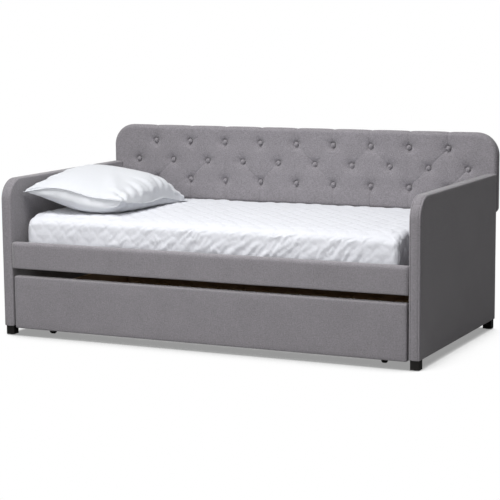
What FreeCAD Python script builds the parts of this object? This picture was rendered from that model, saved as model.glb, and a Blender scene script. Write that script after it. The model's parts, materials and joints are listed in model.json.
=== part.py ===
import FreeCAD, Part
import math
import os

# Upholstered daybed with a roll-out trundle. Millimetres, +Z up, the front faces -Y.
# The origin is on the floor, under the middle of the whole bed.

Vector = FreeCAD.Vector

# ---- driving dimensions -----------------------------------------------------------------
INNER_WIDTH = 2000.0        # clear width between the two arms
ARM_THICKNESS = 52.0
ARM_DEPTH = 1074.0          # front edge to the face of the backrest
ARM_TOP = 748.0
ARM_CORNER_RADIUS = 100.0   # front top corner
LEG_HEIGHT = 45.0
LEG_SIZE = 42.0
LEG_SETBACK = 7.0

BACK_THICKNESS = 56.0
BACK_TOP = 942.0
BACK_BOTTOM = 554.0
BACK_TOP_RADIUS = 110.0
BACK_BOTTOM_RADIUS = 30.0

RAIL_BOTTOM = 324.0
RAIL_TOP = 449.0
RAIL_THICKNESS = 50.0
RAIL_END_GAP = 2.0

MATTRESS_SIZE = (1905.0, 990.0, 215.0)
MATTRESS_SHIFT = -6.0       # the loose mattress lies a little to the left
MATTRESS_CORNER = 55.0
PILLOW_SIZE = (496.0, 650.0, 205.0)
PILLOW_PLACE = (-741.0, -95.0)
PILLOW_TURN = 2.5           # degrees about the vertical

TRUNDLE_WIDTH = 1984.0
TRUNDLE_BOTTOM = 36.0
TRUNDLE_TOP = 289.0
TRUNDLE_PANEL = 45.0        # thickness of the upholstered front
TRUNDLE_REAR = 495.0        # rear face of the back board
BOARD = 18.0                # thickness of side and back boards
SIDE_BOARD_INSET = 8.0      # outer face of a side board, in from the end of the front

WHEEL_RADIUS = 25.0
WHEEL_WIDTH = 20.0
AXLE_RADIUS = 3.0
AXLE_RUNNING_FIT = 0.05
CASTER_X = 850.0

# ---- upholstery build-up ----------------------------------------------------------------
ARM_CORE = 26.0             # plywood core of an arm
ARM_PAD = (ARM_THICKNESS - ARM_CORE) / 2
SOFT_EDGE = 12.0            # foam and fabric over a core's visible edge
THIN_EDGE = 4.0             # fabric alone over a hidden edge
FRONT_PAD = 14.0            # foam and fabric on the face of a rail
RAIL_CORE = 28.0
REAR_RAIL = 22.0            # bare board with a fabric skin
REAR_RAIL_SKIN = 2.0
BACK_PAD = 34.0             # tufted foam on the backrest
BACK_REAR_COVER = 4.0
TRUNDLE_LINING = 2.0

# ---- tufting ----------------------------------------------------------------------------
BUTTON_PITCH = 201.0
BUTTON_ROWS = ((862.0, 9), (765.0, 10), (664.0, 9))   # height, number of buttons
BUTTON_RADIUS = 12.0
BUTTON_DEPTH = 10.0
TWINE_RADIUS = 1.2

# ---- slats ------------------------------------------------------------------------------
SLAT_COUNT = 13
SLAT_PITCH = 150.0
SLAT_WIDTH = 68.0
SLAT_THICKNESS = 14.0
LEDGER_HEIGHT = 19.0
LEDGER_DEPTH = 30.0
BEAM_SIZE = (40.0, 38.0)    # trundle cross beams: depth and height
BEAM_BOTTOM = 60.0
SIDE_BOARD_TOP = 200.0

# ---- fasteners --------------------------------------------------------------------------
CLEARANCE = 0.3
BOLT_RADIUS = 4.0
BOLT_HEAD = (7.0, 5.0)      # radius and height
INSERT_RADIUS = 6.0
SCREW_RADIUS = 2.0
SCREW_HEAD = (4.5, 2.5)
BRACKET_PLATE = 3.0
DOWEL_RADIUS = 5.0

# ---- derived positions ------------------------------------------------------------------
half_inner = INNER_WIDTH / 2
half_outer = half_inner + ARM_THICKNESS
front = -(ARM_DEPTH + BACK_THICKNESS) / 2
arm_rear = front + ARM_DEPTH
rear = arm_rear + BACK_THICKNESS
arm_middle = (front + arm_rear) / 2
arm_axis = half_inner + ARM_THICKNESS / 2
slat_bottom = RAIL_BOTTOM + LEDGER_HEIGHT
slat_top = slat_bottom + SLAT_THICKNESS
rail_core_front = front + FRONT_PAD
rail_core_rear = rail_core_front + RAIL_CORE
rear_rail_front = arm_rear - REAR_RAIL
rail_middle = (rail_core_rear + rear_rail_front) / 2   # half way between the rails' inner faces
back_core_front = arm_rear + BACK_PAD
back_core_rear = rear - BACK_REAR_COVER
trundle_slat_bottom = BEAM_BOTTOM + BEAM_SIZE[1]
beam_centres = (front + 115.0, front + 550.0, front + 985.0)

os.makedirs("parts", exist_ok=True)


# ---- helpers ----------------------------------------------------------------------------
def box(x, y, z):
    """A block from three (low, high) pairs."""
    return Part.makeBox(x[1] - x[0], y[1] - y[0], z[1] - z[0], Vector(x[0], y[0], z[0]))


def rod(start, end, radius):
    """A round bar between two points."""
    axis = Vector(*end) - Vector(*start)
    return Part.makeCylinder(radius, axis.Length, Vector(*start), axis)


def outline(corners):
    """A closed wire through corners given as (point, radius); a radius rounds its corner."""
    points = [Vector(*point) for point, radius in corners]
    pieces = []
    ends = []
    for index, (point, radius) in enumerate(corners):
        corner = points[index]
        back = points[index - 1] - corner
        ahead = points[(index + 1) % len(points)] - corner
        back.normalize()
        ahead.normalize()
        if radius == 0:
            ends.append((corner, corner))
            continue
        half_angle = back.getAngle(ahead) / 2
        reach = radius / math.tan(half_angle)
        bisector = back + ahead
        bisector.normalize()
        middle = corner + bisector * (radius / math.sin(half_angle) - radius)
        ends.append((corner + back * reach, corner + ahead * reach))
        pieces.append(Part.Arc(ends[-1][0], middle, ends[-1][1]).toShape())
    for index, (_, leaving) in enumerate(ends):
        arriving = ends[(index + 1) % len(ends)][0]
        if leaving.distanceToPoint(arriving) > 0.001:
            pieces.append(Part.LineSegment(leaving, arriving).toShape())
    return Part.Wire(Part.__sortEdges__(pieces))


def panel(corners, thickness):
    """The outline given by corners, extruded by a vector."""
    return Part.Face(outline(corners)).extrude(Vector(*thickness))


def mirror_x(shape):
    return shape.mirror(Vector(0, 0, 0), Vector(1, 0, 0))


def mirror_y(shape, plane):
    return shape.mirror(Vector(0, plane, 0), Vector(0, 1, 0))


def two_sides(shapes):
    """Each shape, and its mirror image on the other side of the bed."""
    return list(shapes) + [mirror_x(shape) for shape in shapes]


def four_corners(shapes, plane):
    """Each shape, copied to the other three corners; plane is the y to mirror about."""
    pair = list(shapes) + [mirror_y(shape, plane) for shape in shapes]
    return two_sides(pair)


def drilled(shape, tools):
    """The shape with all the tools cut out of it."""
    return shape.cut(list(tools))


def save(name, shapes):
    """Write one sub-part, which may be a group of separate solids."""
    solids = [solid for shape in shapes for solid in shape.Solids]
    whole = solids[0] if len(solids) == 1 else Part.makeCompound(solids)
    whole.exportStep("parts/" + name + ".step")


def headed(start, end, radius, head):
    """A screw or bolt: a round head at start, standing behind it, and a shank to end."""
    axis = Vector(*end) - Vector(*start)
    axis.normalize()
    top = Vector(*start) - axis * head[1]
    shank = rod(start, end, radius)
    return shank.fuse(Part.makeCylinder(head[0], head[1], top, axis)).removeSplitter()


def headed_hole(start, end, radius, head):
    """The hole that a headed fastener sits in, with a recess for its head."""
    wide = (head[0] + CLEARANCE, head[1] + CLEARANCE)
    return headed(start, end, radius + CLEARANCE / 2, wide)


# ---- fastener positions -----------------------------------------------------------------
bracket_z = (372.0, 428.0)
bracket_bolt_z = (385.0, 415.0)
bracket_x = half_inner - 45.0
bracket_arm_y = rail_core_rear + 50.0
bracket_bolt_y = bracket_arm_y - 17.0
bracket_screw_x = bracket_x + 20.0
insert_length = 20.0
bolt_end_x = arm_axis + ARM_CORE / 2 - 8.0

bracket_bolts = []
bracket_bolt_holes = []
bracket_inserts = []
bracket_screws = []
bracket_screw_holes = []
for z in bracket_bolt_z:
    start = (half_inner - BRACKET_PLATE, bracket_bolt_y, z)
    end = (bolt_end_x, bracket_bolt_y, z)
    bracket_bolts.append(headed(start, end, BOLT_RADIUS, BOLT_HEAD))
    bracket_bolt_holes.append(rod(start, (bolt_end_x + 1, bracket_bolt_y, z), BOLT_RADIUS + CLEARANCE))
    insert_start = (half_inner + ARM_PAD, bracket_bolt_y, z)
    insert_end = (half_inner + ARM_PAD + insert_length, bracket_bolt_y, z)
    insert = rod(insert_start, insert_end, INSERT_RADIUS)
    bracket_inserts.append(insert.cut(rod(insert_start, insert_end, BOLT_RADIUS + CLEARANCE / 2)))
    bracket_bolt_holes.append(rod(insert_start, insert_end, INSERT_RADIUS + CLEARANCE / 2))
    screw_start = (bracket_screw_x, rail_core_rear + BRACKET_PLATE, z)
    screw_end = (bracket_screw_x, rail_core_rear - 15.0, z)
    bracket_screws.append(headed(screw_start, screw_end, SCREW_RADIUS, SCREW_HEAD))
    bracket_screw_holes.append(rod(screw_start, screw_end, SCREW_RADIUS + CLEARANCE / 2))

back_bolt_z = (600.0, 700.0)
back_bolt_end = arm_rear - 40.0
back_insert_length = 30.0
back_bolts = []
back_bolt_holes = []
back_inserts = []
for z in back_bolt_z:
    start = (arm_axis, back_core_rear - BOLT_HEAD[1], z)
    end = (arm_axis, back_bolt_end, z)
    back_bolts.append(headed(start, end, BOLT_RADIUS, BOLT_HEAD))
    back_bolt_holes.append(headed_hole(start, (arm_axis, back_bolt_end - 1, z), BOLT_RADIUS, BOLT_HEAD))
    insert_start = (arm_axis, arm_rear - THIN_EDGE, z)
    insert_end = (arm_axis, arm_rear - THIN_EDGE - back_insert_length, z)
    insert = rod(insert_start, insert_end, INSERT_RADIUS)
    back_inserts.append(insert.cut(rod(insert_start, insert_end, BOLT_RADIUS + CLEARANCE / 2)))
    back_bolt_holes.append(rod(insert_start, insert_end, INSERT_RADIUS + CLEARANCE / 2))

leg_centre_y = front + LEG_SETBACK + LEG_SIZE / 2
leg_bolt = rod((arm_axis, leg_centre_y, 20.0), (arm_axis, leg_centre_y, 90.0), BOLT_RADIUS)
leg_bolt_hole = rod((arm_axis, leg_centre_y, 20.0), (arm_axis, leg_centre_y, 91.0), BOLT_RADIUS + CLEARANCE)


# ---- arms -------------------------------------------------------------------------------
def arm_panel(x, thickness, soft, thin):
    """The arm's side shape, set in by soft at the front and top and by thin elsewhere."""
    y = (front + soft, arm_rear - thin)
    z = (LEG_HEIGHT + thin, ARM_TOP - soft)
    corners = (
        ((x, y[0], z[0]), 0),
        ((x, y[0], z[1]), ARM_CORNER_RADIUS - soft),
        ((x, y[1], z[1]), 0),
        ((x, y[1], z[0]), 0),
    )
    return panel(corners, (thickness, 0, 0))


def make_arms():
    """Both arms: a board between two pads, with a soft band round the board's edge."""
    inner_face = half_inner
    core_face = half_inner + ARM_PAD
    outer_pad_face = core_face + ARM_CORE
    rail_holes = bracket_bolt_holes + [mirror_y(hole, rail_middle) for hole in bracket_bolt_holes]
    leg_holes = [leg_bolt_hole, mirror_y(leg_bolt_hole, arm_middle)]
    holes = rail_holes + back_bolt_holes + leg_holes
    core = drilled(arm_panel(core_face, ARM_CORE, SOFT_EDGE, THIN_EDGE), holes)
    full_band = arm_panel(core_face, ARM_CORE, 0, 0)
    band = full_band.cut(arm_panel(core_face, ARM_CORE, SOFT_EDGE, THIN_EDGE))
    band = drilled(band, back_bolt_holes + leg_holes)
    inner_pad = drilled(arm_panel(inner_face, ARM_PAD, 0, 0), rail_holes)
    outer_pad = arm_panel(outer_pad_face, ARM_PAD, 0, 0)
    right_parts = {"core": core, "edge_band": band, "inner_pad": inner_pad, "outer_pad": outer_pad}
    for name, shape in right_parts.items():
        save("right_arm_" + name, [shape])
        save("left_arm_" + name, [mirror_x(shape)])


# ---- backrest ---------------------------------------------------------------------------
def back_panel(y, thickness, inset):
    """The backrest's front shape, set in by inset all round."""
    x = half_outer - inset
    z = (BACK_BOTTOM + inset, BACK_TOP - inset)
    top = BACK_TOP_RADIUS - inset
    bottom = BACK_BOTTOM_RADIUS - inset
    corners = (
        ((-x, y, z[0]), bottom),
        ((-x, y, z[1]), top),
        ((x, y, z[1]), top),
        ((x, y, z[0]), bottom),
    )
    return panel(corners, (0, thickness, 0))


def button_places():
    """The x and z of every tufting button; the middle row is offset by half a pitch."""
    places = []
    for height, count in BUTTON_ROWS:
        for index in range(count):
            places.append(((index - (count - 1) / 2) * BUTTON_PITCH, height))
    return places


def domed_button():
    """A fabric-covered button that faces -Y, with its flat back at the origin."""
    rim, rise = 3.0, 4.0
    ball = (BUTTON_RADIUS ** 2 + rise ** 2) / (2 * rise)
    dome = Part.makeSphere(ball, Vector(0, ball - rim - rise, 0))
    return dome.common(rod((0, 0, 0), (0, -rim - rise - 1, 0), BUTTON_RADIUS))


def make_backrest():
    """The tufted panel: board, foam pad, edge band, rear cover, and the buttons on their twine."""
    washer_radius, washer_thickness = 9.0, 2.0
    button_back = arm_rear + BUTTON_DEPTH
    washer_front = back_core_rear - washer_thickness
    button = domed_button()
    buttons = []
    twines = []
    washers = []
    pad_cuts = []
    core_cuts = []
    for x, z in button_places():
        buttons.append(button.translated(Vector(x, button_back, z)))
        twines.append(rod((x, button_back, z), (x, washer_front, z), TWINE_RADIUS))
        washers.append(rod((x, washer_front, z), (x, back_core_rear, z), washer_radius))
        pad_cuts.append(rod((x, arm_rear - 1, z), (x, button_back, z), BUTTON_RADIUS + 2))
        twine_hole = rod((x, arm_rear, z), (x, rear, z), TWINE_RADIUS + CLEARANCE)
        pad_cuts.append(twine_hole)
        core_cuts.append(twine_hole)
        recess = (washer_front - CLEARANCE, rear)
        core_cuts.append(rod((x, recess[0], z), (x, recess[1], z), washer_radius + CLEARANCE))
    bolt_holes = two_sides(back_bolt_holes)
    dowel_holes = two_sides([strut_dowel_hole])
    thickness = back_core_rear - back_core_front
    pad = drilled(back_panel(arm_rear, BACK_PAD, 0), pad_cuts + bolt_holes)
    core = drilled(back_panel(back_core_front, thickness, SOFT_EDGE), core_cuts + bolt_holes + dowel_holes)
    band = back_panel(back_core_front, thickness, 0)
    band = band.cut(back_panel(back_core_front, thickness, SOFT_EDGE))
    save("backrest_tufted_pad", [pad])
    save("backrest_core", [core])
    save("backrest_edge_band", [drilled(band, dowel_holes)])
    save("backrest_rear_cover", [back_panel(back_core_rear, BACK_REAR_COVER, 0)])
    save("backrest_buttons", buttons)
    save("button_twines", twines)
    save("button_washers", washers)
    save("backrest_bolts", two_sides(back_bolts))


# ---- struts that tie the backrest to the rear rail --------------------------------------
strut_x = 450.0
strut_width = 45.0
strut_bottom = 330.0
strut_dowel_y = (back_core_front + back_core_rear) / 2
strut_dowel_z = (BACK_BOTTOM - 30.0, BACK_BOTTOM + 36.0)
strut_dowel = rod(
    (strut_x, strut_dowel_y, strut_dowel_z[0]), (strut_x, strut_dowel_y, strut_dowel_z[1]), DOWEL_RADIUS
)
strut_dowel_hole = rod(
    (strut_x, strut_dowel_y, strut_dowel_z[0]), (strut_x, strut_dowel_y, strut_dowel_z[1]),
    DOWEL_RADIUS + CLEARANCE / 2,
)
strut_screw = (3.0, (6.0, 4.0))
strut_screws = []
strut_screw_holes = []
for z in (360.0, 410.0):
    start = (strut_x, back_core_rear - strut_screw[1][1], z)
    end = (strut_x, rear_rail_front + 3.0, z)
    strut_screws.append(headed(start, end, *strut_screw))
    strut_screw_holes.append(headed_hole(start, end, *strut_screw))


def make_struts():
    """Two timber uprights behind the rear rail that carry the middle of the backrest."""
    x = (strut_x - strut_width / 2, strut_x + strut_width / 2)
    strut = box(x, (arm_rear, back_core_rear), (strut_bottom, BACK_BOTTOM))
    strut = drilled(strut, strut_screw_holes + [strut_dowel_hole])
    save("backrest_struts", two_sides([strut]))
    save("strut_dowels", two_sides([strut_dowel]))
    save("strut_screws", two_sides(strut_screws))


# ---- rails ------------------------------------------------------------------------------
def front_rail_cover():
    """The padded cover of the front rail: over the face and top, and a lip down the rear."""
    half = half_inner - RAIL_END_GAP
    lip = rail_core_front + RAIL_CORE
    back = front + RAIL_THICKNESS
    lip_bottom = slat_top + 8.0
    low = RAIL_BOTTOM + 3.0
    high = RAIL_TOP - SOFT_EDGE
    corners = (
        ((-half, front, RAIL_BOTTOM), 0),
        ((-half, front, RAIL_TOP), 12),
        ((-half, back, RAIL_TOP), 6),
        ((-half, back, lip_bottom), 0),
        ((-half, lip, lip_bottom), 0),
        ((-half, lip, high), 0),
        ((-half, rail_core_front, high), 0),
        ((-half, rail_core_front, low), 0),
        ((-half, lip, low), 0),
        ((-half, lip, RAIL_BOTTOM), 0),
    )
    return panel(corners, (2 * half, 0, 0))


def rear_rail_cover():
    """The fabric skin of the rear rail: down its rear face and over its top and bottom."""
    half = half_inner - RAIL_END_GAP
    whole = box((-half, half), (rear_rail_front, arm_rear), (RAIL_BOTTOM, RAIL_TOP))
    board = (rear_rail_front, arm_rear - REAR_RAIL_SKIN)
    return whole.cut(box((-half, half), board, (RAIL_BOTTOM + REAR_RAIL_SKIN, RAIL_TOP - REAR_RAIL_SKIN)))


def slat_screw(x, y, top):
    """One countersunk screw down through the end of a slat, and its hole."""
    start = (x, y, top - SCREW_HEAD[1])
    end = (x, y, top - SCREW_HEAD[1] - 24.0)
    screw = headed(start, end, SCREW_RADIUS, SCREW_HEAD)
    return screw, headed_hole(start, end, SCREW_RADIUS, SCREW_HEAD)


def slat_centres():
    return [(index - (SLAT_COUNT - 1) / 2) * SLAT_PITCH for index in range(SLAT_COUNT)]


def make_rails():
    """Front and rear rails, their corner brackets, and the ledgers that carry the slats."""
    core_half = half_inner - RAIL_END_GAP - 1.0
    core_y = (rail_core_front, rail_core_rear)
    core = box((-core_half, core_half), core_y, (RAIL_BOTTOM + 3.0, RAIL_TOP - SOFT_EDGE))
    core = drilled(core, two_sides(bracket_screw_holes))
    bracket_flat = box((bracket_x, half_inner), (rail_core_rear, rail_core_rear + BRACKET_PLATE), bracket_z)
    bracket_arm = box((half_inner - BRACKET_PLATE, half_inner), (rail_core_rear, bracket_arm_y), bracket_z)
    bracket = bracket_flat.fuse(bracket_arm).removeSplitter()
    bracket = drilled(bracket, bracket_bolt_holes + bracket_screw_holes)
    pocket_y = (rail_core_rear, front + RAIL_THICKNESS + 1)
    pocket = box((bracket_x - 1, half_inner), pocket_y, (bracket_z[0] - 1, bracket_z[1] + 1))
    cover = drilled(front_rail_cover(), two_sides([pocket]))
    ledger_half = half_inner - 15.0
    ledger_y = (rail_core_rear, rail_core_rear + LEDGER_DEPTH)
    ledger = box((-ledger_half, ledger_half), ledger_y, (RAIL_BOTTOM, slat_bottom))
    screw_y = rail_core_rear + LEDGER_DEPTH / 2
    pairs = [slat_screw(x, screw_y, slat_top) for x in slat_centres()]
    screws = [screw for screw, hole in pairs]
    holes = [hole for screw, hole in pairs]
    ledger = drilled(ledger, holes)
    strut_holes = two_sides(strut_screw_holes)
    rear_y = (rear_rail_front, arm_rear - REAR_RAIL_SKIN)
    rear_z = (RAIL_BOTTOM + REAR_RAIL_SKIN, RAIL_TOP - REAR_RAIL_SKIN)
    rear_core = box((-core_half, core_half), rear_y, rear_z)
    rear_screw_holes = two_sides([mirror_y(hole, rail_middle) for hole in bracket_screw_holes])
    save("front_rail_core", [core])
    save("front_rail_cover", [cover])
    save("rear_rail_core", [drilled(rear_core, strut_holes + rear_screw_holes)])
    save("rear_rail_cover", [drilled(rear_rail_cover(), strut_holes)])
    save("slat_ledgers", [ledger, mirror_y(ledger, rail_middle)])
    save("rail_brackets", four_corners([bracket], rail_middle))
    save("rail_bracket_bolts", four_corners(bracket_bolts, rail_middle))
    inserts = four_corners(bracket_inserts, rail_middle) + two_sides(back_inserts)
    save("arm_threaded_inserts", inserts)
    save("rail_bracket_screws", four_corners(bracket_screws, rail_middle))
    slat_end = rail_core_rear + 4.0
    slat_y = (slat_end, 2 * rail_middle - slat_end)
    slats = []
    for x in slat_centres():
        slats.append(box((x - SLAT_WIDTH / 2, x + SLAT_WIDTH / 2), slat_y, (slat_bottom, slat_top)))
    all_holes = holes + [mirror_y(hole, rail_middle) for hole in holes]
    save("bed_slats", [drilled(Part.makeCompound(slats), all_holes)])
    save("bed_slat_screws", screws + [mirror_y(screw, rail_middle) for screw in screws])
    strap_half = slat_centres()[-1] + SLAT_WIDTH / 2
    strap_z = (slat_bottom - 2.0, slat_bottom)
    straps = []
    for y in (rail_middle - 250.0, rail_middle + 250.0):
        straps.append(box((-strap_half, strap_half), (y - 15, y + 15), strap_z))
    save("bed_slat_straps", straps)


# ---- legs -------------------------------------------------------------------------------
def make_legs():
    """A block leg under each end of each arm, with a glide under it and a bolt into the arm."""
    glide_height, glide_radius, chamfer = 3.0, 12.0, 2.0
    half = LEG_SIZE / 2
    x = (arm_axis - half, arm_axis + half)
    y = (leg_centre_y - half, leg_centre_y + half)
    block = box(x, y, (glide_height, LEG_HEIGHT))
    upright = [edge for edge in block.Edges if abs(edge.tangentAt(edge.FirstParameter).z) > 0.9]
    leg = drilled(block.makeChamfer(chamfer, upright), [leg_bolt_hole])
    glide = rod((arm_axis, leg_centre_y, 0), (arm_axis, leg_centre_y, glide_height), glide_radius)
    save("front_right_leg", [leg])
    save("front_left_leg", [mirror_x(leg)])
    save("rear_right_leg", [mirror_y(leg, arm_middle)])
    save("rear_left_leg", [mirror_x(mirror_y(leg, arm_middle))])
    save("leg_bolts", four_corners([leg_bolt], arm_middle))
    save("leg_glides", four_corners([glide], arm_middle))


# ---- mattress and pillow ----------------------------------------------------------------
def flat_outline(size, z, corner):
    """A rounded rectangle about the vertical axis, at height z."""
    x, y = size[0] / 2, size[1] / 2
    places = ((-x, -y), (x, -y), (x, y), (-x, y))
    return outline([((place[0], place[1], z), corner) for place in places])


def make_mattress():
    """The mattress: a block with rounded corners and softened top and bottom edges."""
    length, depth, height = MATTRESS_SIZE
    edge = 18.0
    narrow = (length - edge, depth - edge)
    levels = (
        (narrow, 0.0), ((length, depth), edge), ((length, depth), height - edge), (narrow, height),
    )
    wires = [flat_outline(size, z, MATTRESS_CORNER) for size, z in levels]
    solid = Part.makeLoft(wires, True, True)
    front_gap = 8.0
    place = Vector(MATTRESS_SHIFT, front + RAIL_THICKNESS + front_gap + depth / 2, slat_top)
    save("mattress", [solid.translated(place)])


def make_pillow():
    """The pillow: widest at its seam, and thinner towards a small top and underside."""
    width, length, height = PILLOW_SIZE
    levels = ((0.0, 0.62), (0.16, 0.84), (0.42, 1.0), (0.62, 0.97), (0.86, 0.78), (1.0, 0.5))
    wires = []
    for level, share in levels:
        size = (width * share, length * share)
        wires.append(flat_outline(size, level * height, 70.0 * share))
    solid = Part.makeLoft(wires, True, True)
    solid.rotate(Vector(0, 0, 0), Vector(0, 0, 1), PILLOW_TURN)
    lift = slat_top + MATTRESS_SIZE[2] + 0.5
    save("pillow", [solid.translated(Vector(PILLOW_PLACE[0], PILLOW_PLACE[1], lift))])


# ---- trundle ----------------------------------------------------------------------------
frame_half = TRUNDLE_WIDTH / 2 - SIDE_BOARD_INSET - BOARD    # inner face of the side boards
panel_rear = front + TRUNDLE_PANEL


def beam_y(centre):
    return (centre - BEAM_SIZE[0] / 2, centre + BEAM_SIZE[0] / 2)


def frame_screws():
    """Screws through the side boards, the corner blocks and the back board, and their holes."""
    outer = frame_half + BOARD
    screw = (2.5, (5.0, 3.0))
    paths = []
    for centre in beam_centres:
        for z in (70.0, 88.0):
            paths.append(((outer - 3.0, centre, z), (outer - 53.0, centre, z)))
    block_middle = BEAM_BOTTOM + BEAM_SIZE[1] / 2
    for y in (panel_rear + 18.0, TRUNDLE_REAR - BOARD - 18.0):
        paths.append(((outer - 3.0, y, block_middle), (outer - 43.0, y, block_middle)))
    x = frame_half - 22.0
    z = block_middle + 10.0
    paths.append(((x, panel_rear + 33.0, z), (x, front + 20.0, z)))
    paths.append(((x, TRUNDLE_REAR - 3.0, z), (x, TRUNDLE_REAR - 43.0, z)))
    screws = [headed(start, end, *screw) for start, end in paths]
    holes = [headed_hole(start, end, *screw) for start, end in paths]
    return two_sides(screws), two_sides(holes)


def make_trundle_frame():
    """The trundle's tray: upholstered front, side and back boards, beams, blocks and slats."""
    screws, holes = frame_screws()
    caster_holes = [hole for place in caster_places() for hole in caster_screw_holes(place)]
    half = TRUNDLE_WIDTH / 2
    lining_front = panel_rear - TRUNDLE_LINING
    core_z = (TRUNDLE_BOTTOM + 8.0, TRUNDLE_TOP - SOFT_EDGE)
    core_x = (-half + SOFT_EDGE, half - SOFT_EDGE)
    core = box(core_x, (rail_core_front, lining_front), core_z)
    cover = box((-half, half), (front, lining_front), (TRUNDLE_BOTTOM, TRUNDLE_TOP)).cut(core)
    lining_x = (-half + 4.0, half - 4.0)
    lining = box(lining_x, (lining_front, panel_rear), (TRUNDLE_BOTTOM + 4.0, TRUNDLE_TOP - 4.0))
    board_z = (BEAM_BOTTOM, SIDE_BOARD_TOP)
    side = drilled(box((frame_half, frame_half + BOARD), (panel_rear, TRUNDLE_REAR), board_z), holes)
    back = box((-frame_half, frame_half), (TRUNDLE_REAR - BOARD, TRUNDLE_REAR), board_z)
    beam_z = (BEAM_BOTTOM, trundle_slat_bottom)
    beams = [box((-frame_half, frame_half), beam_y(centre), beam_z) for centre in beam_centres]
    block_x = (frame_half - 40.0, frame_half)
    blocks = [
        box(block_x, (panel_rear, panel_rear + 36.0), beam_z),
        box(block_x, (TRUNDLE_REAR - BOARD - 36.0, TRUNDLE_REAR - BOARD), beam_z),
    ]
    slat_y = (panel_rear + 3.0, TRUNDLE_REAR - BOARD - 3.0)
    slat_z = (trundle_slat_bottom, trundle_slat_bottom + SLAT_THICKNESS)
    slats = []
    slat_screws = []
    slat_holes = []
    for x in slat_centres():
        slats.append(box((x - SLAT_WIDTH / 2, x + SLAT_WIDTH / 2), slat_y, slat_z))
        for centre in (beam_centres[0], beam_centres[2]):
            one_screw, one_hole = slat_screw(x + 12.0, centre, slat_z[1])
            slat_screws.append(one_screw)
            slat_holes.append(one_hole)
    save("trundle_front_core", [drilled(core, holes)])
    save("trundle_front_cover", [cover])
    save("trundle_front_lining", [drilled(lining, holes)])
    save("trundle_right_side", [side])
    save("trundle_left_side", [mirror_x(side)])
    save("trundle_back_board", [drilled(back, holes)])
    save("trundle_beams", [drilled(Part.makeCompound(beams), holes + slat_holes + caster_holes)])
    save("trundle_corner_blocks", [drilled(Part.makeCompound(two_sides(blocks)), holes)])
    save("trundle_slats", [drilled(Part.makeCompound(slats), slat_holes)])
    save("trundle_slat_screws", slat_screws)
    save("trundle_frame_screws", screws)


# ---- casters ----------------------------------------------------------------------------
caster_plate_top = BEAM_BOTTOM
caster_plate_thickness = 3.0


def caster_places():
    """Name and (x, y) of each fixed caster, under the front and rear beams."""
    places = []
    for y_name, y in (("front", beam_centres[0]), ("rear", beam_centres[2])):
        for x_name, x in (("left", -CASTER_X), ("right", CASTER_X)):
            places.append((y_name + "_" + x_name, x, y))
    return places


def caster_screw_paths(place):
    """Start and end of the four screws that hold one caster's plate to its beam."""
    _, x, y = place
    bottom = caster_plate_top - caster_plate_thickness
    paths = []
    for dx in (-24.0, 24.0):
        for dy in (-12.0, 12.0):
            paths.append(((x + dx, y + dy, bottom), (x + dx, y + dy, bottom + 22.0)))
    return paths


def caster_screw_holes(place):
    return [rod(start, end, SCREW_RADIUS + CLEARANCE / 2) for start, end in caster_screw_paths(place)]


def caster_wheel():
    """A wheel about the X axis: hub, thin web and rounded tread."""
    bore = AXLE_RADIUS + AXLE_RUNNING_FIT
    hub, web, rim = (8.0, WHEEL_WIDTH / 2 + 0.5), (17.0, 5.0), (WHEEL_RADIUS, WHEEL_WIDTH / 2)
    corners = (
        ((-hub[1], bore, 0), 0), ((-hub[1], hub[0], 0), 0), ((-web[1], hub[0], 0), 0),
        ((-web[1], web[0], 0), 0), ((-rim[1], web[0], 0), 0), ((-rim[1], rim[0], 0), 4),
        ((rim[1], rim[0], 0), 4), ((rim[1], web[0], 0), 0), ((web[1], web[0], 0), 0),
        ((web[1], hub[0], 0), 0), ((hub[1], hub[0], 0), 0), ((hub[1], bore, 0), 0),
    )
    return Part.Face(outline(corners)).revolve(Vector(0, 0, 0), Vector(1, 0, 0), 360)


def make_casters():
    """Four fixed casters: bracket, axle, screws and a wheel that turns on the axle."""
    ear_inner = WHEEL_WIDTH / 2 + 1.0
    ear_thickness = 2.5
    ear_half = 11.0
    axle_head = (AXLE_RADIUS + 2.0, 2.0)
    plate_bottom = caster_plate_top - caster_plate_thickness
    brackets = []
    axles = []
    screws = []
    for place in caster_places():
        name, x, y = place
        plate = box((x - 32, x + 32), (y - 19, y + 19), (plate_bottom, caster_plate_top))
        ears = []
        for side in (-1, 1):
            ear_x = x + side * ear_inner
            corners = (
                ((ear_x, y - ear_half, plate_bottom), 0),
                ((ear_x, y + ear_half, plate_bottom), 0),
                ((ear_x, y + ear_half, WHEEL_RADIUS - ear_half), ear_half - 0.5),
                ((ear_x, y - ear_half, WHEEL_RADIUS - ear_half), ear_half - 0.5),
            )
            ears.append(panel(corners, (side * ear_thickness, 0, 0)))
        reach = ear_inner + ear_thickness
        axle = rod((x - reach, y, WHEEL_RADIUS), (x + reach, y, WHEEL_RADIUS), AXLE_RADIUS)
        axle_hole = rod((x - reach, y, WHEEL_RADIUS), (x + reach, y, WHEEL_RADIUS), AXLE_RADIUS + 0.1)
        for side in (-1, 1):
            start = (x + side * reach, y, WHEEL_RADIUS)
            end = (x + side * (reach + axle_head[1]), y, WHEEL_RADIUS)
            axle = axle.fuse(rod(start, end, axle_head[0]))
        bracket = plate.fuse(ears).removeSplitter()
        brackets.append(drilled(bracket, caster_screw_holes(place) + [axle_hole]))
        axles.append(axle.removeSplitter())
        for start, end in caster_screw_paths(place):
            screws.append(headed(start, end, SCREW_RADIUS, (4.0, 2.0)))
        wheel = caster_wheel().translated(Vector(x, y, WHEEL_RADIUS))
        save(name + "_caster_wheel", [wheel])
    save("caster_brackets", brackets)
    save("caster_axles", axles)
    save("caster_screws", screws)


make_arms()
make_backrest()
make_struts()
make_rails()
make_legs()
make_mattress()
make_pillow()
make_trundle_frame()
make_casters()
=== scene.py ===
import json
import math

import bmesh
import bpy
import numpy as np
from mathutils import Matrix, Vector

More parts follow.
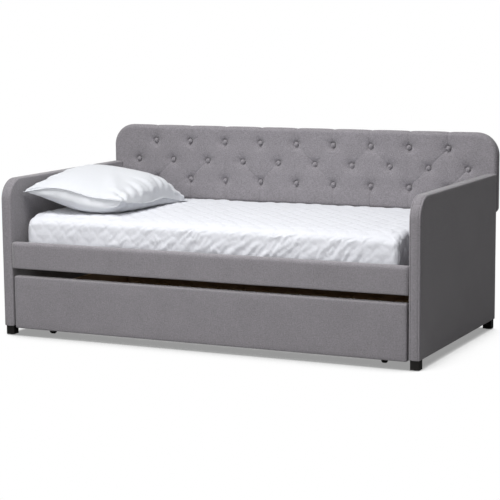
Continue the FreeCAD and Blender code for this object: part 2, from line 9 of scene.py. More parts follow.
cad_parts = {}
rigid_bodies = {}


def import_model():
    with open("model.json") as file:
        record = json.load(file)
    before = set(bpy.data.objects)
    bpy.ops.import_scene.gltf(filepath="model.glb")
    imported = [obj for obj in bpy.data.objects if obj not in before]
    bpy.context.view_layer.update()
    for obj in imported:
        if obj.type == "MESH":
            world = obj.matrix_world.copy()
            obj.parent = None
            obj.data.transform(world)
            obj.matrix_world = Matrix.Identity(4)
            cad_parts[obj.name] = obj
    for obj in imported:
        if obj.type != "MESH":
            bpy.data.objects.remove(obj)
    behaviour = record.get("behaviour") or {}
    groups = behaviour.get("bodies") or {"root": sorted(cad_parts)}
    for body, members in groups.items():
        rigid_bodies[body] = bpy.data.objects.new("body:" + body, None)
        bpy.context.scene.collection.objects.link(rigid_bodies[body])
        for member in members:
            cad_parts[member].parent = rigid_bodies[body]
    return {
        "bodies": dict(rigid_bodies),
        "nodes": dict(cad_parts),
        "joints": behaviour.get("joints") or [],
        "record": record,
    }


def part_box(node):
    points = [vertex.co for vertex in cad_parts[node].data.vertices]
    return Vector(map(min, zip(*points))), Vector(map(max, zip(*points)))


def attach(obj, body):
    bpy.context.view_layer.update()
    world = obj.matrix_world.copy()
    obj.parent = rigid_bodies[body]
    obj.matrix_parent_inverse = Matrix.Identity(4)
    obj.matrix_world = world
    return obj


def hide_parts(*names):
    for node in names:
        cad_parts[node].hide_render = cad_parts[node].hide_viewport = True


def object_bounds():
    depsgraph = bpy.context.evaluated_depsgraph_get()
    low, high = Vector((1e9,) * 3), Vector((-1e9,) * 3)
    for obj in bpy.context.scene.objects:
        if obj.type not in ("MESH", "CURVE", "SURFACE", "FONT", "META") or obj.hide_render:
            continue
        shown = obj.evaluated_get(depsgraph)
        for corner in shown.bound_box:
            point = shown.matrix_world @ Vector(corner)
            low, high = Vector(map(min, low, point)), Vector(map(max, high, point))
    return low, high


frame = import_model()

# Looks of an upholstered daybed with a roll-out trundle. Metres, in the frame of the CAD model.

cad_low, cad_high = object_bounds()


# ---- camera, light and floor ----
def add_camera():
    """The eye stands in front of the right end, a little above the backrest."""
    eye = Vector((3.368, -7.060, 1.5175))
    yaw, pitch, roll = (math.radians(angle) for angle in (25.60, -8.19, -0.48))
    data = bpy.data.cameras.new("camera")
    data.sensor_width, data.lens = 36.0, 118.5
    camera = bpy.data.objects.new("camera", data)
    bpy.context.scene.collection.objects.link(camera)
    tilt = Matrix.Rotation(math.pi / 2 + pitch, 4, "X") @ Matrix.Rotation(roll, 4, "Z")
    camera.matrix_world = Matrix.Translation(eye) @ Matrix.Rotation(yaw, 4, "Z") @ tilt
    bpy.context.scene.camera = camera


def add_soft_light(name, place, target, power, width, height):
    """A rectangular soft light that faces target."""
    data = bpy.data.lights.new(name, "AREA")
    data.energy = power
    data.shape = "RECTANGLE"
    data.size, data.size_y = width, height
    light = bpy.data.objects.new(name, data)
    light.location = place
    light.rotation_euler = (Vector(target) - Vector(place)).to_track_quat("-Z", "Y").to_euler()
    bpy.context.scene.collection.objects.link(light)


def new_node(tree, kind, **values):
    """A node in tree, with values for its inputs; a space in an input's name is written as _."""
    node = tree.nodes.new(kind)
    for name, value in values.items():
        node.inputs[name.replace("_", " ")].default_value = value
    return node


def split_rays(tree, cast, seen, output):
    """Camera rays see one shader, and the other lights the scene."""
    rays = new_node(tree, "ShaderNodeLightPath")
    mix = new_node(tree, "ShaderNodeMixShader")
    tree.links.new(rays.outputs["Is Camera Ray"], mix.inputs["Fac"])
    tree.links.new(cast.outputs[0], mix.inputs[1])
    tree.links.new(seen.outputs[0], mix.inputs[2])
    tree.links.new(mix.outputs["Shader"], tree.nodes[output].inputs["Surface"])


def add_room(seen, cast):
    """A surround that the camera sees as bright as seen, and that lights the scene by cast."""
    white = (1, 1, 1, 1)
    world = bpy.data.worlds.new("studio")
    world.use_nodes = True
    tree = world.node_tree
    tree.nodes.remove(tree.nodes["Background"])
    dim = new_node(tree, "ShaderNodeBackground", Color=white, Strength=cast)
    bright = new_node(tree, "ShaderNodeBackground", Color=white, Strength=seen)
    split_rays(tree, dim, bright, "World Output")
    bpy.context.scene.world = world


def floor_finish(shadow, reach):
    """A floor that glows white for the camera, with a painted contact shadow: as dark as shadow only where
    the bed stands close above it.
    """
    closed, open_sky = 0.36, 0.68
    bounced = (0.32, 0.32, 0.32, 1)
    material = bpy.data.materials.new("floor_white_painted_shadow")
    material.use_nodes = True
    tree = material.node_tree
    tree.nodes.remove(tree.nodes["Principled BSDF"])
    # Painted shadow: ambient occlusion, not the lamps, sets how dark the glowing floor is under and beside
    # the bed.
    openness = new_node(tree, "ShaderNodeAmbientOcclusion", Distance=reach)
    light = new_node(
        tree, "ShaderNodeMapRange", From_Min=closed, From_Max=open_sky, To_Min=shadow, To_Max=1.0,
    )
    light.interpolation_type = "SMOOTHSTEP"
    seen = new_node(tree, "ShaderNodeEmission")
    cast = new_node(tree, "ShaderNodeBsdfDiffuse", Color=bounced)
    tree.links.new(openness.outputs["AO"], light.inputs["Value"])
    tree.links.new(light.outputs["Result"], seen.inputs["Strength"])
    split_rays(tree, cast, seen, "Material Output")
    return material


def add_stage():
    """A white room: one pale floor, a soft box above the bed, and weaker lights before and behind it."""
    bpy.context.scene.view_settings.view_transform = "Standard"
    add_room(seen=1.0, cast=0.26)
    bpy.ops.mesh.primitive_plane_add(size=80.0)
    floor = bpy.context.object
    floor.name = "floor"
    floor.data.materials.append(floor_finish(shadow=0.31, reach=0.30))
    add_soft_light("soft_box", (-0.1, -1.6, 4.2), (0, 0, 0.5), 160, 2.6, 1.8)
    add_soft_light("front_fill", (-0.2, -5.0, 2.2), (0, 0, 0.5), 100, 2.0, 2.0)
    add_soft_light("rear_fill", (-2.2, 4.6, 1.9), (0, 0, 0.6), 45, 2.0, 2.0)


# ---- procedural materials ----
class Shading:
    """One material's node tree, with short calls for the nodes that its look needs."""

    def __init__(self, name):
        self.material = bpy.data.materials.new(name)
        self.material.use_nodes = True
        self.tree = self.material.node_tree
        self.bsdf = self.tree.nodes["Principled BSDF"]
        self.coords = self.tree.nodes.new("ShaderNodeTexCoord").outputs["Object"]

    def link(self, source, target):
        self.tree.links.new(source, target)

    def set(self, **values):
        for name, value in values.items():
            self.bsdf.inputs[name.replace("_", " ")].default_value = value

    def placed(self, kind, source, **values):
        """A node whose vector comes from source."""
        node = new_node(self.tree, kind, **values)
        self.link(source, node.inputs["Vector"])
        return node

    def noise(self, scale, detail, stretch=(1, 1, 1), roughness=0.5):
        space = self.placed("ShaderNodeMapping", self.coords, Scale=stretch).outputs["Vector"]
        values = {"Scale": scale, "Detail": detail, "Roughness": roughness}
        return self.placed("ShaderNodeTexNoise", space, **values).outputs["Fac"]

    def wave(self, axis, period, distortion):
        """Bands across one axis, one every period metres; at scale 1 the node draws 20 in 2 pi metres."""
        values = {"Scale": 2 * math.pi / (20 * period), "Distortion": distortion, "Detail": 1.0}
        node = self.placed("ShaderNodeTexWave", self.coords, **values)
        node.bands_direction = axis
        return node.outputs["Fac"]

    def total(self, values):
        """The sum of several values, such as bands or slubs along the three axes."""
        result, *others = values
        for value in others:
            node = self.tree.nodes.new("ShaderNodeMath")
            self.link(result, node.inputs[0])
            self.link(value, node.inputs[1])
            result = node.outputs["Value"]
        return result

    def scaled(self, value, factor):
        node = self.tree.nodes.new("ShaderNodeMath")
        node.operation = "MULTIPLY"
        node.inputs[1].default_value = factor
        self.link(value, node.inputs[0])
        return node.outputs["Value"]

    def ramp(self, value, stops):
        """A colour for each value, from stops given as (value, colour)."""
        node = self.tree.nodes.new("ShaderNodeValToRGB")
        ramp = node.color_ramp
        for index, (place, colour) in enumerate(stops):
            stop = ramp.elements[index] if index < 2 else ramp.elements.new(place)
            stop.position = place
            stop.color = (*colour, 1)
        self.link(value, node.inputs["Fac"])
        return node.outputs["Color"]

    def mix(self, factor, first, second, kind="MIX"):
        """Blends two colours; a colour mix node's inputs 6 and 7 are its colours."""
        node = self.tree.nodes.new("ShaderNodeMix")
        node.data_type, node.blend_type = "RGBA", kind
        node.inputs[0].default_value = factor
        self.link(first, node.inputs[6])
        self.link(second, node.inputs[7])
        return node.outputs[2]

    def times(self, first, second, factor=1.0):
        return self.mix(factor, first, second, "MULTIPLY")

    def bump(self, *layers):
        """Stacks bumps given as (height, strength, distance in metres)."""
        normal = None
        for height, strength, distance in layers:
            node = new_node(self.tree, "ShaderNodeBump", Strength=strength, Distance=distance)
            self.link(height, node.inputs["Height"])
            if normal is not None:
                self.link(normal, node.inputs["Normal"])
            normal = node.outputs["Normal"]
        self.link(normal, self.bsdf.inputs["Normal"])

    def colour(self, source):
        self.link(source, self.bsdf.inputs["Base Color"])

    def roughness(self, value, low, high):
        node = new_node(self.tree, "ShaderNodeMapRange", To_Min=low, To_Max=high)
        self.link(value, node.inputs["Value"])
        self.link(node.outputs["Result"], self.bsdf.inputs["Roughness"])


def shade(colour, factor):
    return tuple(min(1.0, channel * factor) for channel in colour)


def stretched(axis, along, across):
    """Noise scales with one value along an axis and another across it."""
    return tuple(along if letter == axis else across for letter in "XYZ")


def woven_fabric(name, colour, period, heather, sheen, bump, mottle=0.06, melange=0.0):
    """A plain weave: crossing threads with painted shade between them, slubs, patchy and flecked colour, soft
    sheen.

    period is one thread's width. heather, mottle and melange are the shares by which the colour
    varies from thread to thread, in large patches and in small flecks.
    """
    shading = Shading(name)
    threads = shading.total(shading.wave(axis, period, 0.6) for axis in "XYZ")
    slubs = shading.total(shading.noise(1.0, 2.0, stretched(axis, 60, 700)) for axis in "XZY")
    slubs = shading.scaled(slubs, 1 / 3)
    yarn = shading.ramp(slubs, [(0.38, shade(colour, 1 - heather)), (0.62, shade(colour, 1 + heather))])
    white = (1, 1, 1)
    patches = shading.noise(9.0, 4.0)
    tint = shading.ramp(patches, [(0.3, shade(white, 1 - mottle)), (0.7, white)])
    flecks = shading.noise(1.0, 1.0, (170, 170, 230))
    fleck_tint = shading.ramp(flecks, [(0.3, shade(white, 1 - 2 * melange)), (0.7, white)])
    # Painted shade: the colour is darkened between the threads, where shade falls.
    thread_gap_shade = shading.ramp(threads, [(0.25, shade(white, 0.72)), (0.75, white)])
    dyed = shading.times(shading.times(yarn, tint), fleck_tint)
    shading.colour(shading.times(dyed, thread_gap_shade, 0.6))
    shading.roughness(slubs, 0.82, 0.96)
    shading.set(Sheen_Weight=sheen, Sheen_Roughness=0.45, Specular_IOR_Level=0.25)
    shading.bump((slubs, bump * 0.6, 0.0006), (threads, bump, 0.0004))
    return shading.material


def wood(name, colour, along, contrast, rough):
    """Grain that runs along one axis, with fine pores and slow colour drift."""
    shading = Shading(name)
    grain = shading.noise(1.0, 6.0, stretched(along, 0.9, 14.0), 0.62)
    pores = shading.noise(1.0, 2.0, stretched(along, 12.0, 420.0))
    base = shading.ramp(grain, [(0.3, shade(colour, 1 - contrast)), (0.68, shade(colour, 1 + contrast))])
    pore_tint = shading.ramp(pores, [(0.3, shade(colour, 0.55)), (0.5, colour)])
    shading.colour(shading.mix(0.28, base, pore_tint))
    shading.roughness(pores, rough + 0.1, rough)
    shading.set(Specular_IOR_Level=0.3)
    shading.bump((grain, 0.12, 0.0008), (pores, 0.18, 0.0003))
    return shading.material


def zinc_steel(name):
    """Bright zinc plating, with faint spangle and fine scratches."""
    shading = Shading(name)
    scratches = shading.noise(1.0, 3.0, stretched("Y", 90, 900))
    spangle = shading.noise(160.0, 4.0)
    shading.colour(shading.ramp(spangle, [(0.3, (0.42, 0.43, 0.45)), (0.7, (0.66, 0.67, 0.68))]))
    shading.roughness(scratches, 0.28, 0.48)
    shading.set(Metallic=1.0)
    shading.bump((scratches, 0.1, 0.0002))
    return shading.material


def moulded_plastic(name, colour, rough):
    """Plastic with a fine moulded grain and patches scuffed lighter and duller."""
    shading = Shading(name)
    grain = shading.noise(1400.0, 2.0)
    wear = shading.noise(70.0, 4.0)
    shading.colour(shading.ramp(wear, [(0.35, colour), (0.75, shade(colour, 1.7))]))
    shading.roughness(wear, rough, rough + 0.2)
    shading.bump((grain, 0.15, 0.0002))
    return shading.material


upholstery = woven_fabric("upholstery_weave", (0.276, 0.261, 0.280), 0.0011, 0.16, 0.35, 0.35, melange=0.13)
quilt_cotton = woven_fabric("quilt_cotton", (0.68, 0.69, 0.73), 0.0005, 0.015, 0.2, 0.12, 0.02)
pillow_cotton = woven_fabric("pillow_cotton", (0.645, 0.66, 0.69), 0.0004, 0.012, 0.2, 0.08, 0.015)


def paint_cad_nodes():
    """Gives every CAD node that stays in view its own finish; what isn't named here is a steel fastener."""
    plywood = {axis: wood("plywood_" + axis.lower(), (0.42, 0.29, 0.19), axis, 0.16, 0.62) for axis in "XYZ"}
    pine = {axis: wood("pine_" + axis.lower(), (0.58, 0.43, 0.28), axis, 0.14, 0.58) for axis in "XY"}
    lacquer = wood("dark_legs", (0.0065, 0.0055, 0.005), "Z", 0.3, 0.5)
    nylon = moulded_plastic("black_nylon", (0.02, 0.019, 0.018), 0.4)
    lining = woven_fabric("black_cloth", (0.022, 0.021, 0.022), 0.0009, 0.3, 0.1, 0.3)
    steel = zinc_steel("zinc_steel")
    corners = ("front_left", "front_right", "rear_left", "rear_right")
    finishes = (
        (plywood["Y"], ("left_arm_core", "right_arm_core", "trundle_left_side", "trundle_right_side")),
        (plywood["X"], ("backrest_core", "front_rail_core", "rear_rail_core", "trundle_front_core",
                        "trundle_back_board")),
        (plywood["Z"], ("backrest_struts", "strut_dowels")),
        (pine["Y"], ("bed_slats", "trundle_slats")),
        (pine["X"], ("slat_ledgers", "trundle_beams", "trundle_corner_blocks")),
        (lacquer, [corner + "_leg" for corner in corners]),
        (nylon, ["leg_glides"] + [corner + "_caster_wheel" for corner in corners]),
        (lining, ("bed_slat_straps", "button_twines", "trundle_front_lining")),
    )
    finish_of = {node: material for material, nodes in finishes for node in nodes}
    for node, obj in frame["nodes"].items():
        obj.data.materials.clear()
        obj.data.materials.append(finish_of.get(node, steel))


# ---- mesh building ----
def mesh_object(name, points, faces, material):
    """A smooth-shaded object in the scene, its faces turned to agree with each other.

    They point outward on every piece except pillow_case and pillow_seam_flange, where they point inward.
    """
    mesh = bpy.data.meshes.new(name)
    mesh.from_pydata([tuple(point) for point in points], [], faces)
    mesh.validate()
    work = bmesh.new()
    work.from_mesh(mesh)
    bmesh.ops.recalc_face_normals(work, faces=work.faces)
    work.to_mesh(mesh)
    work.free()
    mesh.materials.append(material)
    mesh.shade_smooth()
    obj = bpy.data.objects.new(name, mesh)
    bpy.context.scene.collection.objects.link(obj)
    return obj


def rounded_sides(low, high, radii, inset, counts, arc_steps):
    """Four sides of a rounded rectangle set in by inset, each from one corner's middle to the next.

    Sides run left to right or bottom to top.
    radii and arc_steps are for the corners bottom left, bottom right, top right, top left.
    """
    sharpest = 0.0008
    radius = [max(r - inset, sharpest) for r in radii]
    a0, b0 = low[0] + inset, low[1] + inset
    a1, b1 = high[0] - inset, high[1] - inset
    centres = (
        (a0 + radius[0], b0 + radius[0]), (a1 - radius[1], b0 + radius[1]),
        (a1 - radius[2], b1 - radius[2]), (a0 + radius[3], b1 - radius[3]),
    )

    def arc(corner, start, end):
        angles = np.radians(np.linspace(start, end, arc_steps[corner] + 1))
        return np.array(centres[corner]) + radius[corner] * np.stack([np.cos(angles), np.sin(angles)], 1)

    def side(first, first_angles, second, second_angles, count):
        start, end = arc(first, *first_angles), arc(second, *second_angles)
        middle = count - arc_steps[first] - arc_steps[second]
        share = np.linspace(0, 1, middle + 1)[1:-1, None]
        return np.concatenate([start, start[-1] + (end[0] - start[-1]) * share, end])

    across, upward = counts
    bottom = side(0, (225, 270), 1, (270, 315), across)
    right = side(1, (315, 360), 2, (0, 45), upward)
    top = side(3, (135, 90), 2, (90, 45), across)
    left = side(0, (225, 180), 3, (180, 135), upward)
    return bottom, right, top, left


def around(bottom, right, top, left):
    """The four sides as one closed loop of points."""
    return np.concatenate([bottom[:-1], right[:-1], top[:0:-1], left[:0:-1]])


def coons(bottom, right, top, left):
    """A grid of points filled in between the four sides."""

    def shares(first, second):
        lengths = [np.linalg.norm(np.diff(line, axis=0), axis=1).cumsum() for line in (first, second)]
        mean = sum(line / line[-1] for line in lengths) / 2
        return np.concatenate([[0], mean])

    u = shares(bottom, top)[None, :, None]
    v = shares(left, right)[:, None, None]
    ruled = (1 - v) * bottom[None] + v * top[None] + (1 - u) * left[:, None] + u * right[:, None]
    corners = (1 - u) * (1 - v) * bottom[0] + u * (1 - v) * bottom[-1]
    corners = corners + (1 - u) * v * top[0] + u * v * top[-1]
    return ruled - corners


def grid_loop(rows, columns):
    """Indices of a grid's rim, in the order that around() gives its points."""
    index = np.arange(rows * columns).reshape(rows, columns)
    return np.concatenate([index[0, :-1], index[:-1, -1], index[-1, :0:-1], index[:0:-1, 0]])


def tube_faces(rings, count, closed):
    """Faces that join rings of count points, each to the next, and the last to the first if closed."""
    faces = []
    for ring in range(rings if closed else rings - 1):
        base, ahead = ring * count, (ring + 1) % rings * count
        for index in range(count):
            after = (index + 1) % count
            faces.append((base + index, base + after, ahead + after, ahead + index))
    return faces


def panel_object(name, low, high, radii, profile, place, material,
                 spacing, arc_steps=(4, 4, 4, 4), relief=None, back_relief=None):
    """A closed padded panel: a front grid, rings that follow profile round the edge, a back grid.

    profile lists (inset from the outline, height) from the front's flat to the back's flat.
    relief(a, b, inset) adds to the front's height, back_relief to the back's depth.
    place(a, b, height) gives the point in space.
    """
    counts = [round((end - start) / spacing) for start, end in zip(low, high)]
    blocks, faces = [], []

    def sides(inset):
        return rounded_sides(low, high, radii, inset, counts, arc_steps)

    def add(points, height, inset, side):
        start = sum(len(block) for block in blocks)
        blocks.append(np.column_stack([points, np.full((len(points), 3), (height, inset, side))]))
        return start

    def add_grid(inset, height, side):
        points = coons(*sides(inset))
        rows, columns = points.shape[:2]
        start = add(points.reshape(-1, 2), height, inset, side)
        index = np.arange(rows * columns).reshape(rows, columns) + start
        quads = np.stack([index[:-1, :-1], index[:-1, 1:], index[1:, 1:], index[1:, :-1]], -1)
        faces.extend(map(tuple, quads.reshape(-1, 4).tolist()))
        return grid_loop(rows, columns) + start

    def join(first, second):
        after = (np.roll(second, -1), np.roll(first, -1))
        faces.extend(zip(first.tolist(), second.tolist(), *(ring.tolist() for ring in after)))

    loop = add_grid(*profile[0], 1)
    for step, (inset, height) in enumerate(profile[1:-1], 1):
        points = around(*sides(inset))
        start = add(points, height, inset, 1 if step < len(profile) / 2 else -1)
        ring = np.arange(len(points)) + start
        join(loop, ring)
        loop = ring
    join(loop, add_grid(*profile[-1], -1))
    a, b, height, inset, side = np.concatenate(blocks).T
    if relief is not None:
        height = height + np.where(side > 0, relief(a, b, inset), 0)
    if back_relief is not None:
        height = height - np.where(side < 0, back_relief(a, b, inset), 0)
    return mesh_object(name, np.stack(place(a, b, height), 1), faces, material)


def rounded_profile(thickness, radius, flat_inset):
    """A plain padded edge: a quarter round at the front, a straight rim, a quarter round behind."""
    steps, rim_step = 6, 0.006
    half = thickness / 2
    angles = np.linspace(0, math.pi / 2, steps + 1)
    front = [(flat_inset, half)]
    front += [(radius * (1 - math.sin(t)), half - radius * (1 - math.cos(t))) for t in angles]
    straight = thickness - 2 * radius
    rim = max(1, round(straight / rim_step))
    sides = [(0.0, half - radius - straight * step / rim) for step in range(1, rim)]
    back = [(inset, -height) for inset, height in reversed(front)]
    return front + sides + back


def boxed_profile(thickness, flat_inset):
    """An edge with a boxing strip: a narrow turned edge each side, a stitched groove, a crowned strip."""
    half = thickness / 2
    turned = [
        (flat_inset, half), (0.0070, half), (0.0048, half - 0.0003), (0.0030, half - 0.0010),
        (0.0014, half - 0.0022), (0.0004, half - 0.0040), (0.0000, half - 0.0058),
        (0.0003, half - 0.0074), (0.0012, half - 0.0084), (0.0018, half - 0.0092),
        (0.0012, half - 0.0100), (0.0002, half - 0.0112), (-0.0004, half - 0.0135),
        (-0.0008, half - 0.0170), (-0.0010, half - 0.0215),
    ]
    return turned + [(-0.0010, 0.0)] + [(inset, -height) for inset, height in reversed(turned)]


def ripple(a, b, seed, size):
    """Slow unevenness of cloth over foam, about plus or minus one, with waves about size long."""
    draw = np.random.default_rng(seed)
    waves = 7
    total = np.zeros_like(a)
    for _ in range(waves):
        angle = draw.uniform(0, math.pi)
        wave = draw.uniform(0.6, 1.8) * 2 * math.pi / size
        phase = draw.uniform(0, 2 * math.pi)
        total += np.sin((a * math.cos(angle) + b * math.sin(angle)) * wave + phase)
    return total / 4


def mesh_points(obj):
    points = np.empty(len(obj.data.vertices) * 3)
    obj.data.vertices.foreach_get("co", points)
    return points.reshape(-1, 3)


def set_mesh_points(obj, points):
    obj.data.vertices.foreach_set("co", points.ravel())
    obj.data.update()


def displace(obj, offset):
    """Moves each point along its normal by offset(points, normals)."""
    normals = np.empty(len(obj.data.vertices) * 3)
    obj.data.vertex_normals.foreach_get("vector", normals)
    points, normals = mesh_points(obj), normals.reshape(-1, 3)
    set_mesh_points(obj, points + normals * offset(points, normals)[:, None])


def smooth_step(value, start, end):
    """0 before start, 1 after end, with a smooth rise between."""
    share = np.clip((value - start) / (end - start), 0, 1)
    return share * share * (3 - 2 * share)


def band(value, start, full, fade, end):
    """0 before start, 1 from full to fade, and 0 after end."""
    return smooth_step(value, start, full) * (1 - smooth_step(value, fade, end))


def hill(value, middle, width):
    """1 at middle, with a smooth fall over about width on both sides."""
    return np.exp(-((value - middle) / width) ** 2)


def edge_distance(a, b, low, high):
    """How far inside the rectangle from low to high each point is."""
    return np.minimum(np.minimum(a - low[0], high[0] - a), np.minimum(b - low[1], high[1] - b))


def crown(a, b, low, high, rise, reach):
    """A gentle swelling that grows from the edge over reach."""
    share = np.clip(edge_distance(a, b, low, high) / reach, 0, 1)
    return rise * (1 - (1 - share) ** 2)


# ---- arms ----
def corner_seam(points, middle, thickness, top):
    """Depth of the seam that joins two lengths of edge strip, on the front corner's round."""
    below_top, depth, width = 0.036, 0.0016, 0.0028
    on_strip = np.abs(points[:, 0] - middle) < thickness / 2 - 0.008
    at_front = points[:, 1] < cad_low.y + 0.04
    return depth * hill(points[:, 2], top - below_top, width) * on_strip * at_front


def make_arm(side):
    """One upholstered arm; side is left or right."""
    inner_low, inner_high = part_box(side + "_arm_inner_pad")
    outer_low, outer_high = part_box(side + "_arm_outer_pad")
    x0, x1 = min(inner_low.x, outer_low.x), max(inner_high.x, outer_high.x)
    middle, thickness = (x0 + x1) / 2, x1 - x0
    outward, seed = (1, 3) if side == "right" else (-1, 4)
    low, high = (inner_low.y, inner_low.z), (inner_high.y, inner_high.z)
    radii, turned_edge = (0.003, 0.003, 0.003, 0.100), 0.012
    profile = boxed_profile(thickness, turned_edge)

    def face(a, b, inset):
        soft = np.clip(inset / turned_edge, 0, 1)
        return soft * (crown(a, b, low, high, 0.0012, 0.08) + 0.0005 * ripple(a, b, seed, 0.5))

    arm = panel_object(
        side + "_arm_upholstery", low, high, radii, profile,
        lambda a, b, h: (middle + outward * h, a, b), upholstery,
        spacing=0.011, arc_steps=(3, 3, 3, 30), relief=face, back_relief=face,
    )
    displace(arm, lambda points, normals: -corner_seam(points, middle, thickness, high[1]))
    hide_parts(*(side + "_arm_" + part for part in ("inner_pad", "outer_pad", "edge_band")))
    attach(arm, "daybed")


# ---- backrest ----
def tuft_layout():
    """Button places (x, z), and the creases between them as pairs of points."""
    low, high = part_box("backrest_buttons")
    radius, near = 0.012, 0.01
    counts = (9, 10, 9)
    pitch = (high.x - low.x - 2 * radius) / (counts[1] - 1)
    drop = (high.z - low.z - 2 * radius) / (len(counts) - 1)
    places = []
    for row, count in enumerate(counts):
        z = low.z + radius + row * drop
        places.append([((index - (count - 1) / 2) * pitch, z) for index in range(count)])
    bottom, middle, top = places
    creases = [
        (place, other) for place in bottom + top for other in middle
        if abs(abs(other[0] - place[0]) - pitch / 2) < near
    ]
    return places, creases


def along_segment(a, b, start, end):
    """Share of the way along a segment, and distance from it, for arrays of points."""
    start, end = np.array(start), np.array(end)
    line = end - start
    share = np.clip(((a - start[0]) * line[0] + (b - start[1]) * line[1]) / (line @ line), 0, 1)
    distance = np.hypot(a - start[0] - share * line[0], b - start[1] - share * line[1])
    return share, distance


def short_wrinkles(draw, buttons):
    """Short pulls in the cloth that run out from some buttons."""
    wrinkles = []
    for button in np.array(buttons):
        for _ in range(draw.integers(1, 5)):
            angle = draw.normal(math.pi / 2, 0.55) * draw.choice((-1, 1))
            start, end = draw.uniform(0.014, 0.020), draw.uniform(0.032, 0.062)
            ray = np.array((math.cos(angle), math.sin(angle)))
            shift = np.array((draw.normal(0, 0.006), 0))
            wrinkles.append((button + ray * start, button + shift + ray * end))
    return wrinkles


def pleat_cut(x, columns):
    """Depth of the pleats that run over the top edge: a fold and a shallow hollow above each button."""
    fold, fold_reach = 0.0034, 0.006
    hollow, hollow_reach = 0.0012, 0.035
    cut = np.zeros(len(x))
    for column in columns:
        cut += fold * np.exp(-np.abs(x - column) / fold_reach) + hollow * hill(x, column, hollow_reach)
    return cut


def tufted_relief(low, high):
    """Height of the tufted front: shallow puffs between creases, with a dimple at each button.

    Also returns the buttons' places, row by row. Creases to the right are drawn sharp more often.
    """
    places, creases = tuft_layout()
    buttons = [place for row in places for place in row]
    pleats = [((x, z), (x, high[1])) for x, z in places[2]]
    pleats += [((x, z), (x, low[1])) for x, z in places[0]]
    seams = list(zip(places[0], places[2]))
    draw = np.random.default_rng(11)
    wrinkles = short_wrinkles(draw, buttons)
    rightward = np.array([start[0] / high[0] for start, end in creases])
    nearly_closed = draw.random(len(creases)) < 0.5 - 0.3 * rightward
    crease_draws = np.where(nearly_closed, 0.12, draw.uniform(0.6, 1.3, len(creases)))
    pleat_draws = draw.uniform(0.7, 1.3, len(pleats))
    valley_reach, puff_rise = 0.030, 0.0034

    def sharp(distance, width):
        return np.exp(-(distance / width) ** 1.4)

    def button_dimple(a, b):
        """A wide oval hollow, and a narrow ring where the cloth turns in under the button's rim."""
        halo = np.hypot(0.75 * a, b)
        rim = 0.0040 * hill(np.hypot(a, b), 0.0138, 0.0032)
        return 0.0075 * hill(halo, 0, 0.0240) + 0.0085 * np.exp(-halo / 0.040) + rim

    def relief(a, b, inset):
        valley, cut, dimple = np.zeros(len(a)), np.zeros(len(a)), np.zeros(len(a))
        a, b = a + 0.0014 * ripple(a, b, 22, 0.05), b + 0.0014 * ripple(a, b, 23, 0.05)
        for strength, (start, end) in zip(crease_draws, creases):
            share, distance = along_segment(a, b, start, end)
            depth = 0.0014 + 0.0034 * (2 * share - 1) ** 2
            cut = np.maximum(cut, strength * depth * sharp(distance, 0.0030))
            valley = np.maximum(valley, min(strength, 1) * np.exp(-distance / valley_reach))
        for strength, (start, end) in zip(pleat_draws, pleats):
            share, distance = along_segment(a, b, start, end)
            depth = 0.0032 + 0.0016 * np.abs(2 * share - 1)
            cut = np.maximum(cut, strength * depth * sharp(distance, 0.0036))
            valley = np.maximum(valley, 0.8 * np.exp(-distance / valley_reach))
        for start, end in seams:
            share, distance = along_segment(a, b, start, end)
            cut = np.maximum(cut, 0.0018 * np.exp(-distance / 0.012))
        for start, end in wrinkles:
            share, distance = along_segment(a, b, start, end)
            depth = 0.0020 * np.sin(math.pi * np.clip(share, 0.02, 0.98))
            cut = np.maximum(cut, depth * hill(distance, 0, 0.0032))
        for x, z in buttons:
            dimple += button_dimple(a - x, b - z)
        height = puff_rise * (1 - valley) - cut - dimple + 0.0005 * ripple(a, b, 21, 0.35)
        return height * np.clip(0.25 + inset / 0.016, 0, 1)

    return relief, places


def make_backrest():
    """The tufted panel with its rear cover, and the buttons pulled into it."""
    pad_low, pad_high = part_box("backrest_tufted_pad")
    y0, y1 = pad_low.y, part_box("backrest_rear_cover")[1].y
    middle, thickness = (y0 + y1) / 2, y1 - y0 - 0.002
    low, high = (pad_low.x, pad_low.z), (pad_high.x, pad_high.z)
    radii, proud = (0.030, 0.030, 0.110, 0.110), 0.0072
    relief, places = tufted_relief(low, high)
    profile = rounded_profile(thickness, 0.019, 0.026)

    def back(a, b, inset):
        return np.clip(inset / 0.01, 0, 1) * 0.0004 * ripple(a, b, 8, 0.4)

    panel = panel_object(
        "backrest_upholstery", low, high, radii, profile,
        lambda a, b, h: (a, middle - h, b), upholstery,
        spacing=0.0033, arc_steps=(8, 8, 26, 26), relief=relief, back_relief=back,
    )
    columns = [x for x, z in places[2]]
    displace(panel, lambda points, normals: -pleat_cut(points[:, 0], columns) * (normals[:, 2] > 0.25))
    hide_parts("backrest_tufted_pad", "backrest_edge_band", "backrest_rear_cover")
    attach(panel, "daybed")
    x, z = (np.array(values) for values in zip(*(place for row in places for place in row)))
    well_inside = np.full(len(x), 0.05)
    front = middle - thickness / 2 - relief(x, z, well_inside) - proud
    make_buttons(zip(x, front, z))


